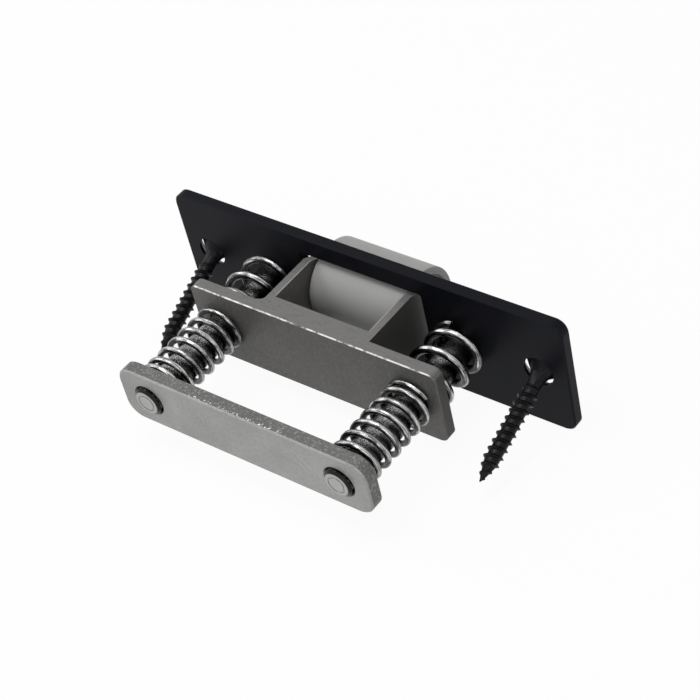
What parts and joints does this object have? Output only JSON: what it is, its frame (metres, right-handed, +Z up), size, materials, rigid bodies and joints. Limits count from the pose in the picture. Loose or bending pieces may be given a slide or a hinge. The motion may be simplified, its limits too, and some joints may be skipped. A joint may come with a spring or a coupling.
{
  "type": "adjustable roller latch",
  "caption": "Spring-loaded roller latch for a door edge: black drop-in faceplate, plastic roller in a sliding carriage, coil springs on adjusting screws, and a rear bar.",
  "frame": {"origin": "middle of the faceplate's front face", "axes": "X along the faceplate, +Y from the front face into the door edge, +Z up; left is +X"},
  "size_m": [0.0888, 0.0511, 0.0254],
  "materials": {
    "black_coating": "satin",
    "white_plastic": "matte",
    "grey_extrusion": "satin",
    "zinc_bar": "satin",
    "screw_steel": "satin",
    "bright_wire": "gloss",
    "black_screw": "satin"
  },
  "bodies": {
    "plate": {"faceplate": "black_coating", "wood_screw_left": "black_screw", "wood_screw_right": "black_screw", "front_spring_left": "bright_wire", "front_spring_right": "bright_wire", "rear_spring_left": "bright_wire", "rear_spring_right": "bright_wire"},
    "slider": {"carriage": "grey_extrusion", "roller_axle": "screw_steel"},
    "wheel": {"roller": "white_plastic"},
    "adjuster_left": {"adjusting_screw_left": "screw_steel"},
    "adjuster_right": {"adjusting_screw_right": "screw_steel"},
    "nut_bar": {"rear_bar": "zinc_bar"}
  },
  "joints": [
    {"name": "roller_push", "type": "slide", "parent": "plate", "child": "slider", "axis": [0, 1, 0], "range_m": [-0.0015, 0.007], "stiffness_N_per_m": 6000, "deforming": ["front_spring_left", "front_spring_right", "rear_spring_left", "rear_spring_right"]},
    {"name": "roller_spin", "type": "hinge", "parent": "slider", "child": "wheel", "pos_m": [0, -0.0021, 0], "axis": [1, 0, 0], "continuous": true},
    {"name": "left_adjuster_turn", "type": "hinge", "parent": "plate", "child": "adjuster_left", "pos_m": [0.022, 0.02, 0], "axis": [0, 1, 0], "range_deg": [0, 725]},
    {"name": "right_adjuster_turn", "type": "hinge", "parent": "plate", "child": "adjuster_right", "pos_m": [-0.022, 0.02, 0], "axis": [0, 1, 0], "range_deg": [0, 725]},
    {"name": "rear_bar_slide", "type": "slide", "parent": "plate", "child": "nut_bar", "axis": [0, -1, 0], "range_m": [0, 0.002], "deforming": ["rear_spring_left", "rear_spring_right"]}
  ],
  "couplings": [
    {"joint": "left_adjuster_turn", "follows": "rear_bar_slide", "rad_per_m": 6283.2},
    {"joint": "right_adjuster_turn", "follows": "rear_bar_slide", "rad_per_m": 6283.2}
  ]
}
